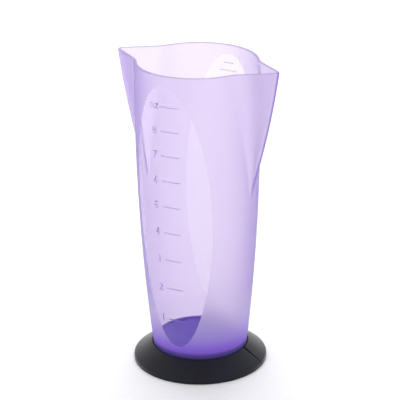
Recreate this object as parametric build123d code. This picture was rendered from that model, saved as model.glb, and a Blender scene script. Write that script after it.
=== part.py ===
from build123d import *
from math import acos, atan2, cos, degrees, hypot, pi, radians, sin, sqrt, tan
import os

# A tall tapered measuring beaker with two opposed pouring spouts, pushed into a split rubber ring.
# Millimetres. +Z is up, the spouts point along +X and -X, and the ounce scale faces -Y.
# The origin is on the beaker's axis, on the surface that the ring stands on.

os.makedirs("parts", exist_ok=True)

# beaker wall: the outside follows one long arc from the ring to the rim
rim_height = 149.6
rim_radius = 28.7
waist_height = 83.2
waist_radius = 28.2
seat_height = 9.0
seat_radius = 22.6
wall = 1.3
rim_round = 0.5

# beaker floor, and the hollow foot that plugs into the ring
foot_bottom = 1.6
foot_radius = 22.2
foot_wall = 1.7
foot_draft = 0.3
floor_top = 10.0
floor_thick = 2.0
floor_corner = 1.0

# pouring spouts: a rounded V in plan, whose keel leans out from the wall towards the rim
spout_half_angle = radians(35.0)
spout_tip_round = 2.6
keel_foot_height = 90.6
keel_foot_radius = 28.4
keel_mid_height = 118.6
keel_mid_radius = 36.1
spout_tip_radius = 42.1
spout_start_height = 80.0
spout_sections = 9
spout_depth = 24.0
root_round_outside = 4.0
root_round_inside = 2.6

# moulded scales: ounces at the front, millilitres at the back
mark_height = 0.3
mark_root = 0.6
line_width = 0.45
long_tick_half_angle = 8.8
short_tick_half_angle = 4.9
ounce_tick_angle = -86.4
litre_tick_angle = 88.4
cubic_mm_per_ounce = 29574.0
top_ounce = 9
cubic_mm_per_ten_ml = 10000.0
first_ten_ml = 2
top_ten_ml = 28
top_named_ten_ml = 24
tens_per_long_tick = 3
digit_height = 3.2
digit_pitch = 2.4
letter_height = 2.1
letter_half_width = 0.85
letter_pitch = 2.75
ounce_label_distance = 3.8
litre_label_distance = 4.8
volume_step = 0.1

# split ring
ring_radius = 32.0
ring_edge_height = 2.4
ring_shoulder_round = 1.2
ring_foot_round = 0.4
ring_lip_radius = 19.6
ring_clearance = 0.3
ring_top_round = 0.3
slit_inner_angle = radians(3.8)
slit_outer_angle = radians(5.3)
slit_inner_width = 1.2
slit_outer_width = 0.4


# centre and radius of the circle through three points
def circle_through(point_a, point_b, point_c):
    ax, az = point_a
    bx, bz = point_b
    cx, cz = point_c
    twice = 2 * (ax * (bz - cz) + bx * (cz - az) + cx * (az - bz))
    a2 = ax * ax + az * az
    b2 = bx * bx + bz * bz
    c2 = cx * cx + cz * cz
    x = (a2 * (bz - cz) + b2 * (cz - az) + c2 * (az - bz)) / twice
    z = (a2 * (cx - bx) + b2 * (ax - cx) + c2 * (bx - ax)) / twice
    return x, z, sqrt((ax - x) ** 2 + (az - z) ** 2)


wall_arc_x, wall_arc_z, wall_arc_radius = circle_through(
    (seat_radius, seat_height), (waist_radius, waist_height), (rim_radius, rim_height))


# radius of the wall at a height; a negative inset lies outside the wall's outer surface
def wall_radius(height, inset=0.0):
    return wall_arc_x + sqrt((wall_arc_radius - inset) ** 2 - (height - wall_arc_z) ** 2)


# lean of the wall away from the vertical, positive where it widens upwards
def wall_lean(height):
    return atan2(wall_arc_z - height, wall_radius(height) - wall_arc_x)


# distance of the spout's keel from the axis
def keel_radius(height):
    climb = height - keel_foot_height
    low_slope = (keel_mid_radius - keel_foot_radius) / (keel_mid_height - keel_foot_height)
    top_slope = (spout_tip_radius - keel_mid_radius) / (rim_height - keel_mid_height)
    bend = (top_slope - low_slope) / (rim_height - keel_foot_height)
    return keel_foot_radius + low_slope * climb + bend * climb * (height - keel_mid_height)


# area of the cavity at a height: a circle, and the two spout channels where they stand out of it
def cavity_area(height):
    radius = wall_radius(height, wall)
    round_to_corner = spout_tip_round * (1 / sin(spout_half_angle) - 1)
    corner = keel_radius(height) + round_to_corner - wall / sin(spout_half_angle)
    area = pi * radius * radius
    if corner > radius:
        side_distance = corner * sin(spout_half_angle)
        half_opening = pi / 2 - spout_half_angle - acos(side_distance / radius)
        area = area + 2 * radius * (corner * sin(half_opening) - radius * half_opening)
    return area


# height that a volume of liquid reaches
def fill_height(volume):
    height = floor_top
    filled = 0.0
    while filled < volume:
        filled = filled + cavity_area(height) * volume_step
        height = height + volume_step
    return height


# solid inside the wall's outer surface, from the foot to the rim
def wall_body():
    with BuildPart() as body:
        with BuildSketch(Plane.XZ):
            with BuildLine():
                seat = (seat_radius, seat_height)
                rim = (rim_radius, rim_height)
                Line((0, foot_bottom), (foot_radius, foot_bottom))
                Line((foot_radius, foot_bottom), seat)
                ThreePointArc(seat, (waist_radius, waist_height), rim)
                Line(rim, (0, rim_height))
                Line((0, rim_height), (0, foot_bottom))
            make_face()
        revolve(axis=Axis.Z)
    return body.part


# solid that fills the inside of the wall, with a rounded corner at the floor
def cavity_body():
    corner_top = floor_top + floor_corner
    corner_radius = wall_radius(corner_top, wall)
    with BuildPart() as body:
        with BuildSketch(Plane.XZ):
            with BuildLine():
                corner_low = (corner_radius - floor_corner, floor_top)
                corner_high = (corner_radius, corner_top)
                rim = (wall_radius(rim_height, wall), rim_height)
                Line((0, floor_top), corner_low)
                RadiusArc(corner_low, corner_high, -floor_corner)
                ThreePointArc(corner_high, (wall_radius(waist_height, wall), waist_height), rim)
                Line(rim, (0, rim_height))
                Line((0, rim_height), (0, floor_top))
            make_face()
        revolve(axis=Axis.Z)
    return body.part


# one spout along +X: rounded V sections that step outwards with the keel
def spout_body(inset):
    tip_round = spout_tip_round - inset
    with BuildPart() as body:
        for section in range(spout_sections):
            share = section / (spout_sections - 1)
            height = spout_start_height + (rim_height - spout_start_height) * share
            tip_x = keel_radius(height) - inset
            side_x = tip_x - tip_round + tip_round * sin(spout_half_angle)
            side_y = tip_round * cos(spout_half_angle)
            back_x = side_x - spout_depth
            back_y = side_y + spout_depth * tan(spout_half_angle)
            with BuildSketch(Plane.XY.offset(height)):
                with BuildLine():
                    Line((back_x, -back_y), (side_x, -side_y))
                    ThreePointArc((side_x, -side_y), (tip_x, 0), (side_x, side_y))
                    Line((side_x, side_y), (back_x, back_y))
                    Line((back_x, back_y), (back_x, -back_y))
                make_face()
        loft()
    return body.part


# a solid of revolution with both spouts added and the creases where they meet rounded
def with_spouts(body, spout, root_round):
    joined = body + spout + spout.rotate(Axis.Z, 180)
    roots = []
    for edge in joined.edges():
        middle = edge.center()
        if edge.length > keel_mid_radius and abs(middle.Y) > spout_tip_round and abs(middle.X) > foot_radius:
            roots.append(edge)
    return joined.fillet(root_round, roots)


# a straight pen stroke with round ends
def stroke(start_x, start_y, end_x, end_y):
    length = hypot(end_x - start_x, end_y - start_y)
    with Locations(((start_x + end_x) / 2, (start_y + end_y) / 2)):
        turn = degrees(atan2(end_y - start_y, end_x - start_x))
        SlotCenterToCenter(length, line_width, rotation=turn)


# a curved pen stroke around a centre on the character's middle line
def bow(centre_y, radius, start_angle, sweep):
    SlotArc(CenterArc((0, centre_y), radius, start_angle, sweep), line_width)


# the pen strokes of one character, with its middle at the origin
def draw_character(character):
    top = digit_height / 2
    bowl = digit_height / 4
    letter_top = letter_height / 2
    side = letter_half_width
    if character == "0":
        bow(bowl, bowl, 0, 180)
        bow(-bowl, bowl, 180, 180)
        stroke(-bowl, -bowl, -bowl, bowl)
        stroke(bowl, -bowl, bowl, bowl)
    elif character == "1":
        stroke(0, -top, 0, top)
    elif character == "2":
        bow(bowl, bowl, 0, 170)
        stroke(bowl, bowl, -bowl, -top)
        stroke(-bowl, -top, bowl, -top)
    elif character == "3":
        bow(bowl, bowl, -90, 230)
        bow(-bowl, bowl, -140, 230)
    elif character == "4":
        stroke(bowl / 2, -top, bowl / 2, top)
        stroke(bowl / 2, top, -bowl, -bowl / 2)
        stroke(-bowl, -bowl / 2, bowl, -bowl / 2)
    elif character == "5":
        bow(-bowl, bowl, -140, 270)
        stroke(-bowl, -bowl / 3, -bowl, top)
        stroke(-bowl, top, bowl, top)
    elif character in "69":
        way = 1 if character == "6" else -1
        bow(-bowl * way, bowl, 0, 180)
        bow(-bowl * way, bowl, 180, 180)
        stroke(-bowl * way, -bowl * way, bowl / 2 * way, top * way)
    elif character == "7":
        stroke(-bowl, top, bowl, top)
        stroke(bowl, top, -bowl / 2, -top)
    elif character == "8":
        for half in (-1, 1):
            bow(bowl * half, bowl, 0, 180)
            bow(bowl * half, bowl, 180, 180)
    elif character == "O":
        bow(0, letter_top, 0, 180)
        bow(0, letter_top, 180, 180)
    elif character == "Z":
        stroke(-side, letter_top, side, letter_top)
        stroke(side, letter_top, -side, -letter_top)
        stroke(-side, -letter_top, side, -letter_top)
    elif character == "M":
        stroke(-side, -letter_top, -side, letter_top)
        stroke(-side, letter_top, 0, -letter_top / 2)
        stroke(0, -letter_top / 2, side, letter_top)
        stroke(side, letter_top, side, -letter_top)
    elif character == "L":
        stroke(-side, letter_top, -side, -letter_top)
        stroke(-side, -letter_top, side, -letter_top)


# one raised character, standing square to the wall at its angle and height
def raised_character(character, angle, height):
    around = radians(angle)
    lean = wall_lean(height)
    outward = (cos(around) * cos(lean), sin(around) * cos(lean), -sin(lean))
    sideways = (-sin(around), cos(around), 0)
    inside = wall_radius(height) - mark_root
    root = (inside * cos(around), inside * sin(around), height)
    with BuildPart() as mark:
        with BuildSketch(Plane.XY):
            draw_character(character)
        extrude(amount=mark_root + mark_height)
    return Plane(origin=root, x_dir=sideways, z_dir=outward).location * mark.part


# one raised tick that follows the wall around the axis
def raised_tick(angle, half_angle, height):
    inner = wall_radius(height) - mark_root
    outer = wall_radius(height) + mark_height
    low = height - line_width / 2
    high = height + line_width / 2
    with BuildPart() as mark:
        with BuildSketch(Plane.XZ):
            with BuildLine():
                Polyline((inner, low), (outer, low), (outer, high), (inner, high), close=True)
            make_face()
        revolve(axis=Axis.Z, revolution_arc=2 * half_angle)
    return mark.part.rotate(Axis.Z, angle - half_angle)


# a word centred beside the left end of a long tick
def raised_label(text, tick_angle, distance, height):
    marks = []
    pitch = letter_pitch if text.isalpha() else digit_pitch
    for place, character in enumerate(text):
        from_middle = (place - (len(text) - 1) / 2) * pitch
        arc_length = from_middle - distance
        angle = tick_angle - long_tick_half_angle + degrees(arc_length / wall_radius(height))
        marks.append(raised_character(character, angle, height))
    return marks


# ounce scale: a long tick for every ounce, and the unit's name in place of the top number
def ounce_scale():
    marks = []
    for number in range(1, top_ounce + 1):
        height = fill_height(number * cubic_mm_per_ounce)
        text = "OZ" if number == top_ounce else str(number)
        marks.append(raised_tick(ounce_tick_angle, long_tick_half_angle, height))
        marks.extend(raised_label(text, ounce_tick_angle, ounce_label_distance, height))
    return marks


# millilitre scale: a tick every ten, every third one long, and a name beside the lower long ones
def litre_scale():
    marks = []
    for tens in range(first_ten_ml, top_ten_ml + 1):
        height = fill_height(tens * cubic_mm_per_ten_ml)
        is_long = tens % tens_per_long_tick == 0
        half_angle = long_tick_half_angle if is_long else short_tick_half_angle
        marks.append(raised_tick(litre_tick_angle, half_angle, height))
        if is_long and tens <= top_named_ten_ml:
            text = "ML" if tens == top_named_ten_ml else str(tens * 10)
            marks.extend(raised_label(text, litre_tick_angle, litre_label_distance, height))
    return marks


# hollow under the floor, open at the bottom
def foot_hollow():
    mouth_radius = foot_radius - foot_wall
    hollow_top = floor_top - floor_thick
    with BuildPart() as body:
        with BuildSketch(Plane.XZ):
            with BuildLine():
                Polyline((0, foot_bottom), (mouth_radius, foot_bottom),
                         (mouth_radius - foot_draft, hollow_top), (0, hollow_top), close=True)
            make_face()
        revolve(axis=Axis.Z)
    return body.part


# the whole beaker as one moulding
def make_beaker():
    outside = with_spouts(wall_body(), spout_body(0.0), root_round_outside)
    inside = with_spouts(cavity_body(), spout_body(wall), root_round_inside)
    shell = outside - inside - foot_hollow()
    rim_edges = []
    for edge in shell.edges():
        if edge.bounding_box().min.Z > rim_height - rim_round:
            rim_edges.append(edge)
    shell = shell.fillet(rim_round, rim_edges)
    return shell.fuse(*ounce_scale(), *litre_scale())


# wedge of space through the ring, wider at the bore than at the edge
def ring_slit():
    bore_x = (seat_radius + ring_clearance) * cos(slit_inner_angle)
    bore_y = (seat_radius + ring_clearance) * sin(slit_inner_angle)
    along_x = ring_radius * cos(slit_outer_angle) - bore_x
    along_y = ring_radius * sin(slit_outer_angle) - bore_y
    length = hypot(along_x, along_y)
    overrun = (seat_radius - ring_lip_radius + foot_wall) / length
    corners = []
    for share, side in ((-overrun, 1), (1 + overrun, 1), (1 + overrun, -1), (-overrun, -1)):
        width = slit_inner_width + (slit_outer_width - slit_inner_width) * min(share, 1)
        corner_x = bore_x + along_x * share - side * along_y / length * width / 2
        corner_y = bore_y + along_y * share + side * along_x / length * width / 2
        corners.append((corner_x, corner_y))
    with BuildPart() as body:
        with BuildSketch(Plane.XY):
            with BuildLine():
                Polyline(*corners, close=True)
            make_face()
        extrude(amount=seat_height + ring_clearance)
    return body.part


# the split ring: a cone outside, a matching bore, and a lip under the beaker's foot
def make_ring():
    with BuildPart() as body:
        with BuildSketch(Plane.XZ) as section:
            with BuildLine():
                Polyline((ring_lip_radius, 0), (ring_radius, 0), (ring_radius, ring_edge_height),
                         (seat_radius + ring_clearance, seat_height),
                         (foot_radius + ring_clearance, foot_bottom),
                         (ring_lip_radius, foot_bottom), close=True)
            make_face()
            for corner in section.vertices():
                if corner.X == ring_radius and corner.Y == 0:
                    foot_corner = corner
                elif corner.X == ring_radius:
                    shoulder_corner = corner
                elif corner.Y == seat_height:
                    top_corner = corner
            fillet(foot_corner, ring_foot_round)
            fillet(shoulder_corner, ring_shoulder_round)
            fillet(top_corner, ring_top_round)
        revolve(axis=Axis.Z)
    return body.part - ring_slit()


export_step(make_beaker(), "parts/beaker.step")
export_step(make_ring(), "parts/base_ring.step")
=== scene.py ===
import math

import bmesh
import bpy
import numpy as np
from mathutils import Matrix, Vector


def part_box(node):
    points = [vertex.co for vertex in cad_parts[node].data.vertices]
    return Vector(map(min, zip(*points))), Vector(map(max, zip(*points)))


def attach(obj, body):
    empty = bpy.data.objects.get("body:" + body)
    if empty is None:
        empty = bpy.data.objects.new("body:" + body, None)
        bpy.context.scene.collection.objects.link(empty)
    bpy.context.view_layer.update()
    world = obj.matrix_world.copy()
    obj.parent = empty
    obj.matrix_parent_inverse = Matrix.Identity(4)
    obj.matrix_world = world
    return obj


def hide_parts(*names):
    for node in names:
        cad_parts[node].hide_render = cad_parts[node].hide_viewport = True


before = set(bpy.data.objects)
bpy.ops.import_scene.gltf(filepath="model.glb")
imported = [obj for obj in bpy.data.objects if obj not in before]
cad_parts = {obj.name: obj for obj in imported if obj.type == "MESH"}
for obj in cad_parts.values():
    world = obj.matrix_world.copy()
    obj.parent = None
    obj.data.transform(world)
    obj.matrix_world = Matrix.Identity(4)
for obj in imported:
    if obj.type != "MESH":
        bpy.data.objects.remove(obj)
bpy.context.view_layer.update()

# ---------------------------------------------------------------- sizes, in millimetres
MM = 0.001

# beaker: its wall follows one arc through the seat, the waist and the rim
beaker_low, beaker_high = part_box("beaker")
RIM_HEIGHT = beaker_high[2] / MM
FOOT_BOTTOM = beaker_low[2] / MM
RIM_RADIUS = 28.7
WAIST_HEIGHT = 83.2
WAIST_RADIUS = 28.2
SEAT_HEIGHT = 9.0
SEAT_RADIUS = 22.6
FOOT_RADIUS = 22.2
FOOT_WALL = 1.7
WALL = 1.3
RIM_ROUND = 0.5
RIM_SQUARENESS = 0.75
FLOOR_TOP = 10.0
FLOOR_THICK = 2.0
FLOOR_CORNER = 1.0

# the foot's hollow and its lower edge
HOLLOW_SLACK = 0.05
HOLLOW_CHAMFER_WIDTH = 0.25
HOLLOW_CHAMFER_HEIGHT = 0.3
FOOT_ROUND = 0.35
FOOT_ROUND_MIDDLE = 0.1

# pouring spouts: a rounded V whose keel leans out from the wall
SPOUT_TIP_SETBACK = 0.02
SPOUT_TIP = beaker_high[0] / MM - SPOUT_TIP_SETBACK
SPOUT_HALF_ANGLE = math.radians(35.0)
SPOUT_WIDEST_ANGLE = 1.0
SPOUT_TIP_ROUND = 2.6
KEEL_FOOT_HEIGHT = 90.6
KEEL_FOOT_RADIUS = 28.4
KEEL_MID_HEIGHT = 118.6
KEEL_MID_RADIUS = 36.1
SPOUT_BLEND_DEPTH = 8.0
ROOT_BLEND_OUTSIDE = 1.6
ROOT_BLEND_INSIDE = 1.6

# raised scales: low beads just off the wall, so that no two faces lie in one place; angles in degrees
MARK_HEIGHT = 0.26
MARK_SHOULDER = 0.21
MARK_EDGE = 0.10
MARK_LIFT = 0.002
LINE_WIDTH = 0.45
STROKE_CAP = 0.4
TICK_POINTS = 15
LONG_TICK_HALF_ANGLE = 8.8
SHORT_TICK_HALF_ANGLE = 4.9
OUNCE_TICK_ANGLE = -86.4
LITRE_TICK_ANGLE = 88.4
DIGIT_HEIGHT = 3.2
DIGIT_PITCH = 2.4
LETTER_HEIGHT = 2.1
LETTER_HALF_WIDTH = 0.85
LETTER_PITCH = 2.75
OUNCE_LABEL_DISTANCE = 3.8
LITRE_LABEL_DISTANCE = 4.8

# volumes that the scales count, in cubic millimetres
OUNCE = 29574.0
TOP_OUNCE = 9
TEN_ML = 10000.0
FIRST_TEN_ML = 2
TOP_TEN_ML = 28
TOP_NAMED_TEN_ML = 24
TENS_PER_LONG_TICK = 3

# base ring, with one slit; it stays just inside the CAD ring's radius of 32
RING_RADIUS = 31.995
RING_EDGE_HEIGHT = 2.4
RING_SHOULDER_ROUND = 1.2
RING_FOOT_ROUND = 0.4
RING_TOP_ROUND = 0.3
RING_LIP_RADIUS = 19.6
RING_CLEARANCE = 0.3
RING_STEPS = 240
RING_SHARP_ANGLE = 40.0
SLIT_INNER_ANGLE = math.radians(3.8)
SLIT_OUTER_ANGLE = math.radians(5.3)
SLIT_INNER_WIDTH = 1.2
SLIT_OUTER_WIDTH = 0.4


# ---------------------------------------------------------------- the beaker's shape
def circle_through(point_a, point_b, point_c):
    """Centre and radius of the circle through three points."""
    ax, az = point_a
    bx, bz = point_b
    cx, cz = point_c
    twice = 2 * (ax * (bz - cz) + bx * (cz - az) + cx * (az - bz))
    a2 = ax * ax + az * az
    b2 = bx * bx + bz * bz
    c2 = cx * cx + cz * cz
    x = (a2 * (bz - cz) + b2 * (cz - az) + c2 * (az - bz)) / twice
    z = (a2 * (cx - bx) + b2 * (ax - cx) + c2 * (bx - ax)) / twice
    return x, z, math.hypot(ax - x, az - z)


ARC_X, ARC_Z, ARC_RADIUS = circle_through(
    (SEAT_RADIUS, SEAT_HEIGHT), (WAIST_RADIUS, WAIST_HEIGHT), (RIM_RADIUS, RIM_HEIGHT))


def wall_radius(height, inset=0.0):
    """Radius of the round wall at a height."""
    if height < SEAT_HEIGHT:
        share = (height - FOOT_BOTTOM) / (SEAT_HEIGHT - FOOT_BOTTOM)
        return FOOT_RADIUS + (SEAT_RADIUS - FOOT_RADIUS) * share - inset
    return ARC_X + math.sqrt((ARC_RADIUS - inset) ** 2 - (height - ARC_Z) ** 2)


def keel_radius(height):
    """Distance of the spout's keel from the axis."""
    climb = height - KEEL_FOOT_HEIGHT
    low_slope = (KEEL_MID_RADIUS - KEEL_FOOT_RADIUS) / (KEEL_MID_HEIGHT - KEEL_FOOT_HEIGHT)
    top_slope = (SPOUT_TIP - KEEL_MID_RADIUS) / (RIM_HEIGHT - KEEL_MID_HEIGHT)
    bend = (top_slope - low_slope) / (RIM_HEIGHT - KEEL_FOOT_HEIGHT)
    return KEEL_FOOT_RADIUS + low_slope * climb + bend * climb * (height - KEEL_MID_HEIGHT)


def spout_radius(angle, height, inset):
    """Where rays from the axis meet the spout's rounded V, at angles from the spout's middle."""
    tip_round = SPOUT_TIP_ROUND - inset
    centre = keel_radius(height) - inset - tip_round
    corner = centre + tip_round / math.sin(SPOUT_HALF_ANGLE)
    touch_x = centre + tip_round * math.sin(SPOUT_HALF_ANGLE)
    touch_y = tip_round * math.cos(SPOUT_HALF_ANGLE)
    turn = np.abs(angle)
    side = corner * math.sin(SPOUT_HALF_ANGLE) / np.sin(SPOUT_HALF_ANGLE + turn)
    under_root = np.maximum(tip_round ** 2 - (centre * np.sin(turn)) ** 2, 0)
    tip = centre * np.cos(turn) + np.sqrt(under_root)
    return np.where(turn < math.atan2(touch_y, touch_x), tip, side)


def blend_larger(first, second, width):
    """The larger of two values, rounded where they cross."""
    overlap = np.maximum(width - np.abs(first - second), 0) / width
    return np.maximum(first, second) + overlap ** 2 * width / 4


def outline(angles, height, inset, blend):
    """Radius of the wall with both spouts, all the way round at one height."""
    body = np.full_like(angles, wall_radius(height, inset))
    if height < KEEL_FOOT_HEIGHT - SPOUT_BLEND_DEPTH:
        return body
    from_spout = np.abs((angles + math.pi / 2) % math.pi - math.pi / 2)
    # further round than this, in radians, the V's sides would lead outwards again
    from_spout = np.minimum(from_spout, SPOUT_WIDEST_ANGLE)
    return blend_larger(body, spout_radius(from_spout, height, inset), blend)


def cavity_area(height):
    """Area of the inside at a height, in square millimetres."""
    steps = 720
    angles = np.arange(steps) * 2 * math.pi / steps
    radii = outline(angles, height, WALL, ROOT_BLEND_INSIDE)
    return float(np.sum(radii ** 2) * math.pi / steps)


def fill_heights(volumes):
    """Heights that the volumes reach when they fill the beaker, smallest first."""
    step = 0.2
    heights = []
    height = FLOOR_TOP
    filled = 0.0
    for volume in volumes:
        while filled < volume:
            filled += cavity_area(height) * step
            height += step
        heights.append(height)
    return heights


# ---------------------------------------------------------------- mesh helpers
def make_piece(name, points, faces, body, material):
    """A closed, smooth mesh object from points in millimetres, riding on a body."""
    mesh = bpy.data.meshes.new(name)
    mesh.from_pydata((np.asarray(points) * MM).tolist(), [], faces)
    mesh.materials.append(material)
    mesh.polygons.foreach_set("use_smooth", [True] * len(mesh.polygons))
    face_outwards(mesh)
    piece = bpy.data.objects.new(name, mesh)
    bpy.context.scene.collection.objects.link(piece)
    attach(piece, body)
    return piece


def face_outwards(mesh):
    """Every face of a closed mesh looks outwards."""
    work = bmesh.new()
    work.from_mesh(mesh)
    bmesh.ops.recalc_face_normals(work, faces=work.faces)
    work.to_mesh(mesh)
    work.free()
    mesh.update()


def loop_faces(rows, columns, first=0):
    """Quads between closed rings of points, ring after ring."""
    faces = []
    for row in range(rows - 1):
        low = first + row * columns
        for column in range(columns):
            after = (column + 1) % columns
            faces.append((low + column, low + after, low + columns + after, low + columns + column))
    return faces


# ---------------------------------------------------------------- beaker shell
# the name of the face attribute and its two values, and the radius that stands in for a middle point
OUTER_SIDE = "outer_side"
OUTSIDE = 1.0
INSIDE = 0.0
POINT_RADIUS = 0.01


def shell_angles():
    """Angles round the beaker, closest together over the spouts' tips."""
    tip_end = 7.0
    spout_end = 40.0
    quarter = np.concatenate([np.arange(0.0, tip_end, 0.5), np.arange(tip_end, spout_end, 1.0),
                              np.arange(spout_end, 90.0, 2.0)])
    half = np.concatenate([quarter, [90.0], 180.0 - quarter[:0:-1]])
    return np.radians(np.concatenate([half, half + 180.0]))


def foot_rings(columns):
    """Rings of points from the middle of the foot's hollow, down it and round the foot's edge."""
    hollow_top = FLOOR_TOP - FLOOR_THICK
    hollow_radius = FOOT_RADIUS - FOOT_WALL
    rings = []
    for share in (0.0, 0.25, 0.5, 0.75, 0.95, 0.985):
        rings.append((max(share * hollow_radius, POINT_RADIUS), hollow_top, INSIDE))
    for height in (hollow_top - 0.2, hollow_top - 1.0, 5.0, 3.0, FOOT_BOTTOM + HOLLOW_CHAMFER_HEIGHT):
        rings.append((hollow_radius - HOLLOW_SLACK, height, INSIDE))
    rings.append((hollow_radius + HOLLOW_CHAMFER_WIDTH, FOOT_BOTTOM, INSIDE))
    rings.append((FOOT_RADIUS - FOOT_ROUND, FOOT_BOTTOM, OUTSIDE))
    rings.append((FOOT_RADIUS - FOOT_ROUND_MIDDLE, FOOT_BOTTOM + FOOT_ROUND_MIDDLE, OUTSIDE))
    rings.append((FOOT_RADIUS, FOOT_BOTTOM + FOOT_ROUND, OUTSIDE))
    return [(np.full(columns, radius), height, kind) for radius, height, kind in rings]


def wall_heights():
    """Heights of the rings up the outside, to where the rim's rounding starts."""
    beside_ring = list(np.arange(3.0, SEAT_HEIGHT, 1.5))
    above_ring = list(np.arange(SEAT_HEIGHT, RIM_HEIGHT - 1.2, 1.0))
    return beside_ring + above_ring + [RIM_HEIGHT - RIM_ROUND]


def rim_rings(angles):
    """Rings over the rounded rim, from the outside to the inside."""
    height = RIM_HEIGHT - RIM_ROUND
    outer = outline(angles, height, 0.0, ROOT_BLEND_OUTSIDE)
    inner = outline(angles, height, WALL, ROOT_BLEND_INSIDE)
    middle = (outer + inner) / 2
    half = (outer - inner) / 2
    rings = []
    for turn in np.radians(np.arange(15, 180, 15)):
        across = math.copysign(abs(math.cos(turn)) ** RIM_SQUARENESS, math.cos(turn))
        rings.append((middle + half * across, height + RIM_ROUND * math.sin(turn), OUTSIDE))
    return rings


def cavity_rings(angles, heights):
    """Rings down the inside, round the corner and across the floor to its middle."""
    columns = len(angles)
    corner_top = FLOOR_TOP + FLOOR_CORNER
    rings = []
    for height in reversed(heights):
        if height > corner_top + 0.4:
            rings.append((outline(angles, height, WALL, ROOT_BLEND_INSIDE), height, INSIDE))
    floor_radius = wall_radius(corner_top, WALL) - FLOOR_CORNER
    for turn in np.radians(np.arange(0, 91, 10)):
        radius = floor_radius + FLOOR_CORNER * math.cos(turn)
        rings.append((np.full(columns, radius), corner_top - FLOOR_CORNER * math.sin(turn), INSIDE))
    for share in (0.75, 0.5, 0.25, 0.0):
        radius = max(share * floor_radius, POINT_RADIUS)
        rings.append((np.full(columns, radius), FLOOR_TOP, INSIDE))
    return rings


def make_shell(material):
    """The beaker as one closed skin, its faces marked as outer side or not."""
    angles = shell_angles()
    columns = len(angles)
    heights = wall_heights()
    rings = foot_rings(columns)
    for height in heights:
        rings.append((outline(angles, height, 0.0, ROOT_BLEND_OUTSIDE), height, OUTSIDE))
    rings += rim_rings(angles)
    rings += cavity_rings(angles, heights)

    points = [np.stack([radii * np.cos(angles), radii * np.sin(angles), np.full(columns, height)], axis=1)
              for radii, height, kind in rings]
    faces = loop_faces(len(rings), columns)
    kinds = []
    for ring, next_ring in zip(rings, rings[1:]):
        kinds += [min(ring[2], next_ring[2])] * columns
    last = (len(rings) - 1) * columns
    faces.append(tuple(range(columns - 1, -1, -1)))
    faces.append(tuple(range(last, last + columns)))
    kinds += [INSIDE, INSIDE]
    shell = make_piece("beaker_shell", np.concatenate(points), faces, "vessel", material)
    side = shell.data.attributes.new(OUTER_SIDE, "FLOAT", "FACE")
    side.data.foreach_set("value", kinds)
    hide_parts("beaker")


# ---------------------------------------------------------------- raised scales
# a bead's cross-section: (share of the line's width, height over the wall)
BEAD_SECTION = ((-0.5, MARK_LIFT), (-0.5, MARK_EDGE), (-0.3, MARK_SHOULDER), (0.0, MARK_HEIGHT),
                (0.3, MARK_SHOULDER), (0.5, MARK_EDGE), (0.5, MARK_LIFT))


def straights(*corners):
    """Straight pen strokes from each corner to the next."""
    return [[start, end] for start, end in zip(corners, corners[1:])]


def arc_points(centre_y, radius, start, sweep):
    """Points along a circular pen stroke, angles in degrees."""
    steps = max(int(abs(sweep) / 15), 2)
    points = []
    for step in range(steps + 1):
        turn = math.radians(start + sweep * step / steps)
        points.append((radius * math.cos(turn), centre_y + radius * math.sin(turn)))
    return points


def pen_strokes(character):
    """Centre lines of a character, with its middle at the origin."""
    top = DIGIT_HEIGHT / 2
    bowl = DIGIT_HEIGHT / 4
    letter_top = LETTER_HEIGHT / 2
    side = LETTER_HALF_WIDTH
    # the 9 is the 6, turned half a turn
    way = -1 if character == "9" else 1
    shape = "6" if character == "9" else character
    strokes = {
        "0": [arc_points(bowl, bowl, 0, 180) + arc_points(-bowl, bowl, 180, 180) + [(bowl, bowl)]],
        "1": straights((0, -top), (0, top)),
        "2": [arc_points(bowl, bowl, 170, -170)] + straights((bowl, bowl), (-bowl, -top), (bowl, -top)),
        "3": [arc_points(bowl, bowl, 140, -230), arc_points(-bowl, bowl, 90, -230)],
        "4": straights((bowl / 2, -top), (bowl / 2, top), (-bowl, -bowl / 2), (bowl, -bowl / 2)),
        "5": [arc_points(-bowl, bowl, -140, 270)]
             + straights((-bowl, -bowl / 3), (-bowl, top), (bowl, top)),
        "6": [arc_points(-bowl * way, bowl, 0, 360)]
             + straights((-bowl * way, -bowl * way), (bowl / 2 * way, top * way)),
        "7": straights((-bowl, top), (bowl, top), (-bowl / 2, -top)),
        "8": [arc_points(bowl, bowl, 0, 360), arc_points(-bowl, bowl, 0, 360)],
        "O": [arc_points(0, letter_top, 0, 360)],
        "Z": straights((-side, letter_top), (side, letter_top), (-side, -letter_top), (side, -letter_top)),
        "M": straights((-side, -letter_top), (-side, letter_top), (0, -letter_top / 2),
                       (side, letter_top), (side, -letter_top)),
        "L": straights((-side, letter_top), (-side, -letter_top), (side, -letter_top)),
    }
    return strokes[shape]


def add_stroke(points, faces, line, angle, height):
    """A low rounded bead along a line of (sideways, up) points, lying on the wall."""
    line = np.array(line, dtype=float)
    along = np.gradient(line, axis=0)
    along /= np.linalg.norm(along, axis=1)[:, None]
    line[0] -= along[0] * LINE_WIDTH * STROKE_CAP
    line[-1] += along[-1] * LINE_WIDTH * STROKE_CAP
    across = np.stack([-along[:, 1], along[:, 0]], axis=1)
    first = len(points)
    for place, side in zip(line, across):
        for offset, lift in BEAD_SECTION:
            flat = place + side * offset * LINE_WIDTH
            z = height + flat[1]
            radius = wall_radius(z) + lift
            turn = angle + flat[0] / wall_radius(z)
            points.append((radius * math.cos(turn), radius * math.sin(turn), z))
    count = len(BEAD_SECTION)
    faces.extend(loop_faces(len(line), count, first))
    faces.append(tuple(range(first + count - 1, first - 1, -1)))
    last = first + (len(line) - 1) * count
    faces.append(tuple(range(last, last + count)))


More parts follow.
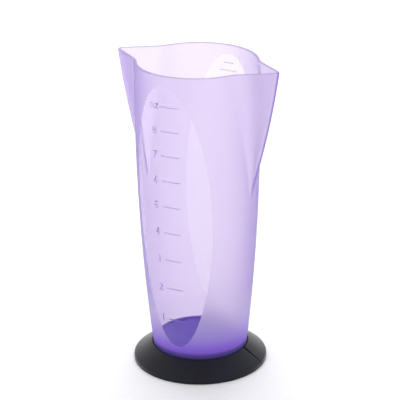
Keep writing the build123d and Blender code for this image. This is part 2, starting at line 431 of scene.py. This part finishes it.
def add_tick(points, faces, centre_angle, half_angle, height):
    """A level line on the wall, angles in degrees."""
    reach = math.radians(half_angle) * wall_radius(height)
    line = [(x, 0.0) for x in np.linspace(-reach, reach, TICK_POINTS)]
    add_stroke(points, faces, line, math.radians(centre_angle), height)


def add_label(points, faces, text, tick_angle, distance, height):
    """A number or name, its middle at a distance from the left end of a long tick."""
    start = math.radians(tick_angle - LONG_TICK_HALF_ANGLE)
    pitch = LETTER_PITCH if text.isalpha() else DIGIT_PITCH
    for place, character in enumerate(text):
        arc_length = (place - (len(text) - 1) / 2) * pitch - distance
        angle = start + arc_length / wall_radius(height)
        for line in pen_strokes(character):
            add_stroke(points, faces, line, angle, height)


def make_ounce_scale(material):
    """The front scale: a long tick and a number for each ounce, and the unit's name at the top."""
    points = []
    faces = []
    heights = fill_heights([n * OUNCE for n in range(1, TOP_OUNCE + 1)])
    for number, height in enumerate(heights, start=1):
        text = "OZ" if number == TOP_OUNCE else str(number)
        add_tick(points, faces, OUNCE_TICK_ANGLE, LONG_TICK_HALF_ANGLE, height)
        add_label(points, faces, text, OUNCE_TICK_ANGLE, OUNCE_LABEL_DISTANCE, height)
    make_piece("ounce_scale", points, faces, "vessel", material)


def make_litre_scale(material):
    """The back scale: a tick for every ten millilitres, every third one long and most of those named."""
    points = []
    faces = []
    all_tens = range(FIRST_TEN_ML, TOP_TEN_ML + 1)
    for tens, height in zip(all_tens, fill_heights([n * TEN_ML for n in all_tens])):
        is_long = tens % TENS_PER_LONG_TICK == 0
        half_angle = LONG_TICK_HALF_ANGLE if is_long else SHORT_TICK_HALF_ANGLE
        add_tick(points, faces, LITRE_TICK_ANGLE, half_angle, height)
        if is_long and tens <= TOP_NAMED_TEN_ML:
            text = "ML" if tens == TOP_NAMED_TEN_ML else str(tens * 10)
            add_label(points, faces, text, LITRE_TICK_ANGLE, LITRE_LABEL_DISTANCE, height)
    make_piece("millilitre_scale", points, faces, "vessel", material)


# ---------------------------------------------------------------- base ring
def rounded_corner(before, corner, after, radius, steps=6):
    """Points of a rounding between two straight sides, each a (radius, height) pair."""
    corner = Vector(corner)
    to_before = (Vector(before) - corner).normalized()
    to_after = (Vector(after) - corner).normalized()
    half = to_before.angle(to_after) / 2
    centre = corner + (to_before + to_after).normalized() * (radius / math.sin(half))
    touch = corner + to_before * (radius / math.tan(half)) - centre
    side = 1 if to_before.x * to_after.y - to_before.y * to_after.x < 0 else -1
    points = []
    for step in range(steps + 1):
        turn = side * (math.pi - 2 * half) * step / steps
        points.append((centre.x + touch.x * math.cos(turn) - touch.y * math.sin(turn),
                       centre.y + touch.x * math.sin(turn) + touch.y * math.cos(turn)))
    return points


def ring_section():
    """Outline of the ring's cross-section, (radius, height), anticlockwise."""
    bore_top = (SEAT_RADIUS + RING_CLEARANCE, SEAT_HEIGHT)
    bore_low = (FOOT_RADIUS + RING_CLEARANCE, FOOT_BOTTOM)
    foot = (RING_RADIUS, 0.0)
    shoulder = (RING_RADIUS, RING_EDGE_HEIGHT)
    lip_low = (RING_LIP_RADIUS, 0.0)
    lip_top = (RING_LIP_RADIUS, FOOT_BOTTOM)
    section = [lip_low]
    for radius in (22.5, 27.0, 31.0):
        section.append((radius, 0.0))
    section += rounded_corner(lip_low, foot, shoulder, RING_FOOT_ROUND)
    section += rounded_corner(foot, shoulder, bore_top, RING_SHOULDER_ROUND, 8)
    for share in (0.15, 0.3, 0.45, 0.6, 0.75, 0.9):
        section.append((RING_RADIUS + (bore_top[0] - RING_RADIUS) * share,
                        RING_EDGE_HEIGHT + (bore_top[1] - RING_EDGE_HEIGHT) * share))
    section += rounded_corner(shoulder, bore_top, bore_low, RING_TOP_ROUND)
    section.append(((bore_top[0] + bore_low[0]) / 2, (bore_top[1] + bore_low[1]) / 2))
    section += [bore_low, lip_top]
    return np.array(section)


def make_ring(material):
    """The section swept round from one side of the slit to the other; the slit narrows outwards."""
    section = ring_section()
    count = len(section)
    radii = section[:, 0]
    bore = SEAT_RADIUS + RING_CLEARANCE
    share = (radii - bore) / (RING_RADIUS - bore)
    middle = SLIT_INNER_ANGLE + (SLIT_OUTER_ANGLE - SLIT_INNER_ANGLE) * share
    width = SLIT_INNER_WIDTH + (SLIT_OUTER_WIDTH - SLIT_INNER_WIDTH) * share
    half_gap = width / 2 / radii
    points = []
    for step in range(RING_STEPS + 1):
        turn = middle + half_gap + (2 * math.pi - 2 * half_gap) * step / RING_STEPS
        points.append(np.stack([radii * np.cos(turn), radii * np.sin(turn), section[:, 1]], axis=1))
    faces = []
    for step in range(RING_STEPS):
        low = step * count
        for place in range(count):
            after = (place + 1) % count
            faces.append((low + place, low + count + place, low + count + after, low + after))
    faces.append(tuple(range(count)))
    last = RING_STEPS * count
    faces.append(tuple(range(last + count - 1, last - 1, -1)))
    ring = make_piece("rubber_ring", np.concatenate(points), faces, "ring", material)
    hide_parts("base_ring")
    mark_sharp(ring, RING_SHARP_ANGLE)


def mark_sharp(piece, degrees):
    """Sharp edges where faces meet at more than an angle."""
    bpy.context.view_layer.objects.active = piece
    piece.select_set(True)
    bpy.ops.object.shade_smooth_by_angle(angle=math.radians(degrees), keep_sharp_edges=True)
    piece.select_set(False)


# ---------------------------------------------------------------- materials
# the clear windows: an oval in height and angle round the axis, leaning a little
WINDOW_MIDDLE = 79.5
WINDOW_HALF_HEIGHT = 65.2
WINDOW_HALF_ANGLE = 42.3
WINDOW_SKEW = 3.0
WINDOW_EDGE = 0.003

# the plastic itself
VIOLET_ABSORPTION = (0.44, 0.06, 0.98, 1.0)
ABSORPTION_DENSITY = 166.0
PLASTIC_IOR = 1.49
PLASTIC_SPECULAR = 0.3

# the surface where it is clear and frosted, with painted shade low on the frosted wall, at the seat, on
# the floor inside and along the rim
CLEAR_TINT = (0.94, 0.955, 0.90, 1.0)
FROST_TINT = (0.965, 0.94, 0.97, 1.0)
# painted shade: a deeper violet low on the frosted wall, seen from outside only
LOW_PAINTED_SHADE_TINT = (0.20, 0.045, 0.71, 1.0)
# painted shade: darkest violet in the band where the wall sits in the ring
SEAT_PAINTED_SHADE_TINT = (0.05, 0.025, 0.26, 1.0)
# painted shade: the floor inside is a dark violet
FLOOR_PAINTED_SHADE_TINT = (0.11, 0.004, 0.76, 1.0)
# painted shade: a darker grey-violet line along the rim
RIM_PAINTED_SHADE_TINT = (0.60, 0.51, 0.72, 1.0)
CLEAR_CLARITY = 1.0
FROST_CLARITY = 0.94
LOW_PAINTED_SHADE_CLARITY = 0.2
FLOOR_SHADE_CLARITY = 0.1
RIM_SHADE_CLARITY = 0.5

# where those start and end, in millimetres
LOW_PAINTED_SHADE_BOTTOM = 6.0
LOW_PAINTED_SHADE_TOP = 42.0
SEAT_SHADE_FADE_LOW = 10.3
SEAT_SHADE_FADE_HIGH = 12.2
FLOOR_SHADE_FADE_LOW = 10.6
FLOOR_SHADE_FADE_HIGH = 11.4
RIM_SHADE_LINE = 0.3

# fine texture: noise scales are per metre, bump heights in metres
NOISE_LOW = 0.3
NOISE_HIGH = 0.7
CLEAR_RIPPLE_SCALE = 90.0
CLEAR_ROUGHNESS = 0.05
CLEAR_ROUGHNESS_SPREAD = 0.02
FROST_GRAIN_SCALE = 2600.0
FROST_ROUGHNESS = 0.50
FROST_ROUGHNESS_SPREAD = 0.05
FROST_BUMP_HEIGHT = 0.00003
FROST_BUMP_STRENGTH = 0.35

# raised marks
MARK_IOR = 1.2
MARK_DARK = (0.76, 0.68, 0.86, 1.0)
MARK_LIGHT = (0.82, 0.74, 0.90, 1.0)
# painted shade: the marks low down are a deeper violet
MARK_LOW_PAINTED_SHADE = (0.5, 0.4, 0.8, 1.0)
MARK_SHADE_TOP = 34.0
MARK_WEAR_SCALE = 400.0
MARK_SMOOTH = 0.3
MARK_ROUGH = 0.4

# black rubber
RUBBER_DARK = (0.001, 0.001, 0.006, 1.0)
RUBBER_LIGHT = (0.002, 0.003, 0.011, 1.0)
RUBBER_IOR = 1.5
RUBBER_SPECULAR = 0.28
RUBBER_ROUGHNESS = 0.28
RUBBER_ROUGHNESS_RISE = 0.08
RUBBER_SHEEN = 0.12
RUBBER_SHEEN_ROUGHNESS = 0.35
BLOOM_SCALE = 60.0
BLOOM_DETAIL = 4.0
BLOOM_LOW = 0.35
BLOOM_HIGH = 0.65
RUBBER_GRAIN_SCALE = 3200.0
RUBBER_BUMP_HEIGHT = 0.00004
RUBBER_BUMP_STRENGTH = 0.4


def new_material(name):
    """A material with its nodes, its links and its main shader."""
    material = bpy.data.materials.new(name)
    material.use_nodes = True
    nodes = material.node_tree.nodes
    return material, nodes, material.node_tree.links, nodes["Principled BSDF"]


def noise(nodes, links, coordinates, scale, detail=2.0):
    """Soft noise between 0 and 1."""
    node = nodes.new("ShaderNodeTexNoise")
    node.inputs["Scale"].default_value = scale
    node.inputs["Detail"].default_value = detail
    links.new(coordinates, node.inputs["Vector"])
    return node.outputs["Fac"]


def put(links, value, socket):
    """Gives a socket its value, which is a constant or another node's socket."""
    if isinstance(value, (int, float, tuple)):
        socket.default_value = value
    else:
        links.new(value, socket)


def math_node(nodes, links, operation, first, second=None):
    """The result of one sum on constants or sockets."""
    node = nodes.new("ShaderNodeMath")
    node.operation = operation
    put(links, first, node.inputs[0])
    if second is not None:
        put(links, second, node.inputs[1])
    return node.outputs[0]


def flipped(nodes, links, mask):
    """1 where the mask is 0, and 0 where it is 1."""
    return math_node(nodes, links, "SUBTRACT", 1.0, mask)


def map_range(nodes, links, value, from_low, from_high, to_low, to_high, interpolation="LINEAR"):
    """A value moved from one range into another, and kept inside it."""
    node = nodes.new("ShaderNodeMapRange")
    node.interpolation_type = interpolation
    links.new(value, node.inputs["Value"])
    for name, number in (("From Min", from_low), ("From Max", from_high),
                         ("To Min", to_low), ("To Max", to_high)):
        node.inputs[name].default_value = number
    return node.outputs["Result"]


def mix(nodes, links, share, first, second, data_type="FLOAT"):
    """A value that goes from the first to the second; each is a constant or a socket."""
    node = nodes.new("ShaderNodeMix")
    node.data_type = data_type
    links.new(share, node.inputs["Factor"])
    put(links, first, node.inputs["A"])
    put(links, second, node.inputs["B"])
    return node.outputs["Result"]


def mix_colors(nodes, links, share, first, second):
    """A colour that goes from the first to the second."""
    return mix(nodes, links, share, first, second, "RGBA")


def add_bump(nodes, links, shader, grain, distance, strength):
    """A fine relief on the shader's surface."""
    bump = nodes.new("ShaderNodeBump")
    bump.inputs["Distance"].default_value = distance
    put(links, strength, bump.inputs["Strength"])
    links.new(grain, bump.inputs["Height"])
    links.new(bump.outputs["Normal"], shader.inputs["Normal"])


def window_mask(nodes, links, position):
    """1 inside the two clear oval windows at the front and back, 0 on the frosted wall."""
    split = nodes.new("ShaderNodeSeparateXYZ")
    links.new(position, split.inputs[0])
    x, y, z = split.outputs
    sideways = math_node(nodes, links, "MULTIPLY", x, math_node(nodes, links, "SIGN", y))
    depth = math_node(nodes, links, "ABSOLUTE", y)
    angle = math_node(nodes, links, "ARCTAN2", sideways, depth)
    up = math_node(nodes, links, "DIVIDE",
                   math_node(nodes, links, "SUBTRACT", z, WINDOW_MIDDLE * MM), WINDOW_HALF_HEIGHT * MM)
    skew = math_node(nodes, links, "MULTIPLY", up, math.radians(WINDOW_SKEW))
    across = math_node(nodes, links, "DIVIDE", math_node(nodes, links, "SUBTRACT", angle, skew),
                       math.radians(WINDOW_HALF_ANGLE))
    size = math_node(nodes, links, "ABSOLUTE", across)
    squares = math_node(nodes, links, "ADD", math_node(nodes, links, "POWER", up, 2.0),
                        math_node(nodes, links, "POWER", size, 2.0))
    return map_range(nodes, links, squares, 1.0 - WINDOW_EDGE, 1.0 + WINDOW_EDGE, 1.0, 0.0)


def split_height(nodes, links, position):
    """The height part of a position."""
    split = nodes.new("ShaderNodeSeparateXYZ")
    links.new(position, split.inputs[0])
    return split.outputs[2]


def falling(nodes, links, position, bottom, top):
    """1 under a height, falling smoothly to 0 at a greater height, both in millimetres."""
    height = split_height(nodes, links, position)
    return map_range(nodes, links, height, bottom * MM, top * MM, 1.0, 0.0, "SMOOTHSTEP")


def violet_plastic():
    """Translucent violet plastic: frosted outside but for two clear windows, polished inside.

    The frosted wall grows a deeper violet towards its foot, darkest where it sits in the ring: painted
    shade. The floor inside and a thin line along the rim are painted darker too, as painted shade.
    The deeper violet is on the wall's outer side only, for a ray that comes from outside: Backfacing
    leaves it out where the wall is seen through the plastic.
    """
    material, nodes, links, shader = new_material("violet_plastic")
    position = nodes.new("ShaderNodeTexCoord").outputs["Object"]
    outer = nodes.new("ShaderNodeAttribute")
    outer.attribute_name = OUTER_SIDE
    frosted = math_node(nodes, links, "MULTIPLY", outer.outputs["Fac"],
                        flipped(nodes, links, window_mask(nodes, links, position)))
    from_outside = flipped(nodes, links, nodes.new("ShaderNodeNewGeometry").outputs["Backfacing"])
    # painted shade: a deeper violet low on the frosted wall, only where a ray hits the wall from outside
    low = math_node(nodes, links, "MULTIPLY",
                    math_node(nodes, links, "MULTIPLY", frosted, from_outside),
                    falling(nodes, links, position, LOW_PAINTED_SHADE_BOTTOM, LOW_PAINTED_SHADE_TOP))
    # painted shade: the inner faces up to the fade height, on the floor, are painted dark violet
    floor = math_node(nodes, links, "MULTIPLY", flipped(nodes, links, outer.outputs["Fac"]),
                      falling(nodes, links, position, FLOOR_SHADE_FADE_LOW, FLOOR_SHADE_FADE_HIGH))
    # painted shade: a darker grey-violet line along the top of the rim
    rim = math_node(nodes, links, "GREATER_THAN", split_height(nodes, links, position),
                    (RIM_HEIGHT - RIM_SHADE_LINE) * MM)

    tint = mix_colors(nodes, links, frosted, CLEAR_TINT, FROST_TINT)
    # painted shade: the low violet turns darkest in the band where the wall sits in the ring
    seat = falling(nodes, links, position, SEAT_SHADE_FADE_LOW, SEAT_SHADE_FADE_HIGH)
    tint = mix_colors(nodes, links, low, tint, mix_colors(nodes, links, seat, LOW_PAINTED_SHADE_TINT, SEAT_PAINTED_SHADE_TINT))
    tint = mix_colors(nodes, links, floor, tint, FLOOR_PAINTED_SHADE_TINT)
    tint = mix_colors(nodes, links, rim, tint, RIM_PAINTED_SHADE_TINT)
    links.new(tint, shader.inputs["Base Color"])

    clarity = map_range(nodes, links, frosted, 0.0, 1.0, CLEAR_CLARITY, FROST_CLARITY)
    for mask, value in ((low, LOW_PAINTED_SHADE_CLARITY), (floor, FLOOR_SHADE_CLARITY), (rim, RIM_SHADE_CLARITY)):
        clarity = mix(nodes, links, mask, clarity, value)
    links.new(clarity, shader.inputs["Transmission Weight"])

    ripple = noise(nodes, links, position, CLEAR_RIPPLE_SCALE, 1.0)
    grain = noise(nodes, links, position, FROST_GRAIN_SCALE)
    clear_roughness = map_range(nodes, links, ripple, NOISE_LOW, NOISE_HIGH,
                                CLEAR_ROUGHNESS - CLEAR_ROUGHNESS_SPREAD,
                                CLEAR_ROUGHNESS + CLEAR_ROUGHNESS_SPREAD)
    frost_roughness = map_range(nodes, links, grain, NOISE_LOW, NOISE_HIGH,
                                FROST_ROUGHNESS - FROST_ROUGHNESS_SPREAD,
                                FROST_ROUGHNESS + FROST_ROUGHNESS_SPREAD)
    links.new(mix(nodes, links, frosted, clear_roughness, frost_roughness), shader.inputs["Roughness"])
    strength = map_range(nodes, links, frosted, 0.0, 1.0, 0.0, FROST_BUMP_STRENGTH)
    add_bump(nodes, links, shader, grain, FROST_BUMP_HEIGHT, strength)
    shader.inputs["IOR"].default_value = PLASTIC_IOR
    shader.inputs["Specular IOR Level"].default_value = PLASTIC_SPECULAR
    absorb = nodes.new("ShaderNodeVolumeAbsorption")
    absorb.inputs["Color"].default_value = VIOLET_ABSORPTION
    absorb.inputs["Density"].default_value = ABSORPTION_DENSITY
    links.new(absorb.outputs["Volume"], nodes["Material Output"].inputs["Volume"])
    return material


def mark_plastic():
    """Raised scale marks: clear beads that bend light less than the wall, and more violet low down as
    painted shade.
    """
    material, nodes, links, shader = new_material("violet_marks")
    position = nodes.new("ShaderNodeTexCoord").outputs["Object"]
    wear = noise(nodes, links, position, MARK_WEAR_SCALE)
    tint = mix_colors(nodes, links, wear, MARK_DARK, MARK_LIGHT)
    # painted shade: marks low down take a deeper violet
    low = math_node(nodes, links, "LESS_THAN", split_height(nodes, links, position), MARK_SHADE_TOP * MM)
    links.new(mix_colors(nodes, links, low, tint, MARK_LOW_PAINTED_SHADE), shader.inputs["Base Color"])
    links.new(map_range(nodes, links, wear, NOISE_LOW, NOISE_HIGH, MARK_SMOOTH, MARK_ROUGH),
              shader.inputs["Roughness"])
    shader.inputs["IOR"].default_value = MARK_IOR
    shader.inputs["Transmission Weight"].default_value = 1.0
    return material


def black_rubber():
    """Moulded black rubber with a fine matt grain and a faint cloudy bloom."""
    material, nodes, links, shader = new_material("black_rubber")
    position = nodes.new("ShaderNodeTexCoord").outputs["Object"]
    bloom = noise(nodes, links, position, BLOOM_SCALE, BLOOM_DETAIL)
    share = map_range(nodes, links, bloom, BLOOM_LOW, BLOOM_HIGH, 0.0, 1.0)
    links.new(mix_colors(nodes, links, share, RUBBER_DARK, RUBBER_LIGHT), shader.inputs["Base Color"])
    links.new(map_range(nodes, links, bloom, BLOOM_LOW, BLOOM_HIGH,
                        RUBBER_ROUGHNESS, RUBBER_ROUGHNESS + RUBBER_ROUGHNESS_RISE),
              shader.inputs["Roughness"])
    shader.inputs["IOR"].default_value = RUBBER_IOR
    shader.inputs["Specular IOR Level"].default_value = RUBBER_SPECULAR
    shader.inputs["Sheen Weight"].default_value = RUBBER_SHEEN
    shader.inputs["Sheen Roughness"].default_value = RUBBER_SHEEN_ROUGHNESS
    grain = noise(nodes, links, position, RUBBER_GRAIN_SCALE)
    add_bump(nodes, links, shader, grain, RUBBER_BUMP_HEIGHT, RUBBER_BUMP_STRENGTH)
    return material


marks = mark_plastic()
make_shell(violet_plastic())
make_ounce_scale(marks)
make_litre_scale(marks)
make_ring(black_rubber())


# ---------------------------------------------------------------- ground, light and camera
GROUND_HALF_SIZE = 4.0
GROUND_COLOR = (0.98, 0.98, 0.98, 1.0)
GROUND_ROUGHNESS = 0.9
SKY_HORIZON = 1.15
SKY_TOP = 0.75
SKY_COLOR = (1.0, 1.0, 1.0, 1.0)
SOFTBOX_PLACE = (-0.5, 0.8, 1.5)
SOFTBOX_AIM = (0.0, 0.0, 0.05)
SOFTBOX_SIZE = 1.4
SOFTBOX_POWER = 14.0
LIGHT_BOUNCES = 32

# camera, in metres and radians; its lens and sensor in millimetres
CAMERA_AZIMUTH = math.radians(29.74)
CAMERA_DISTANCE = 0.80016
CAMERA_HEIGHT = 0.39702
CAMERA_PITCH = 0.3764
CAMERA_ROLL = -0.0116
CAMERA_LENS = 164.88
CAMERA_SENSOR = 36.0
CAMERA_SHIFT = 0.0035
CAMERA_NEAR = 0.01
CAMERA_FAR = 50.0


def make_floor():
    """A wide pale floor for the beaker to stand on."""
    far = GROUND_HALF_SIZE
    mesh = bpy.data.meshes.new("floor")
    mesh.from_pydata([(-far, -far, 0), (far, -far, 0), (far, far, 0), (-far, far, 0)], [], [(0, 1, 2, 3)])
    floor = bpy.data.objects.new("floor", mesh)
    bpy.context.scene.collection.objects.link(floor)
    material, nodes, links, shader = new_material("pale_floor")
    shader.inputs["Base Color"].default_value = GROUND_COLOR
    shader.inputs["Roughness"].default_value = GROUND_ROUGHNESS
    mesh.materials.append(material)


def make_world():
    """A white sky, brightest at the horizon and below."""
    world = bpy.data.worlds.new("studio")
    bpy.context.scene.world = world
    world.use_nodes = True
    nodes = world.node_tree.nodes
    links = world.node_tree.links
    split = nodes.new("ShaderNodeSeparateXYZ")
    links.new(nodes.new("ShaderNodeTexCoord").outputs["Generated"], split.inputs[0])
    strength = map_range(nodes, links, split.outputs[2], 0.0, 1.0, SKY_HORIZON, SKY_TOP)
    links.new(strength, nodes["Background"].inputs["Strength"])
    nodes["Background"].inputs["Color"].default_value = SKY_COLOR


def make_softbox():
    """A large square lamp high up behind the beaker."""
    light = bpy.data.lights.new("softbox", "AREA")
    light.shape = "SQUARE"
    light.size = SOFTBOX_SIZE
    light.energy = SOFTBOX_POWER
    lamp = bpy.data.objects.new("softbox", light)
    lamp.location = SOFTBOX_PLACE
    way = Vector(SOFTBOX_AIM) - Vector(SOFTBOX_PLACE)
    lamp.rotation_euler = way.to_track_quat("-Z", "Y").to_euler()
    bpy.context.scene.collection.objects.link(lamp)


def make_camera():
    """The photo's camera, from the front right and above."""
    data = bpy.data.cameras.new("camera")
    data.sensor_width = CAMERA_SENSOR
    data.lens = CAMERA_LENS
    data.shift_x = CAMERA_SHIFT
    data.clip_start = CAMERA_NEAR
    data.clip_end = CAMERA_FAR
    camera = bpy.data.objects.new("camera", data)
    camera.location = (CAMERA_DISTANCE * math.sin(CAMERA_AZIMUTH),
                       -CAMERA_DISTANCE * math.cos(CAMERA_AZIMUTH), CAMERA_HEIGHT)
    turn = Matrix.Rotation(CAMERA_AZIMUTH, 4, "Z")
    tilt = Matrix.Rotation(math.pi / 2 - CAMERA_PITCH, 4, "X")
    roll = Matrix.Rotation(CAMERA_ROLL, 4, "Z")
    camera.rotation_euler = (turn @ tilt @ roll).to_euler()
    bpy.context.scene.collection.objects.link(camera)
    bpy.context.scene.camera = camera


make_floor()
make_world()
make_softbox()
make_camera()
scene = bpy.context.scene
scene.view_settings.view_transform = "Standard"
scene.view_settings.look = "None"
# fewer bounces turn the edges of the thin clear wall black
scene.cycles.max_bounces = LIGHT_BOUNCES
scene.cycles.transmission_bounces = LIGHT_BOUNCES
scene.cycles.glossy_bounces = LIGHT_BOUNCES
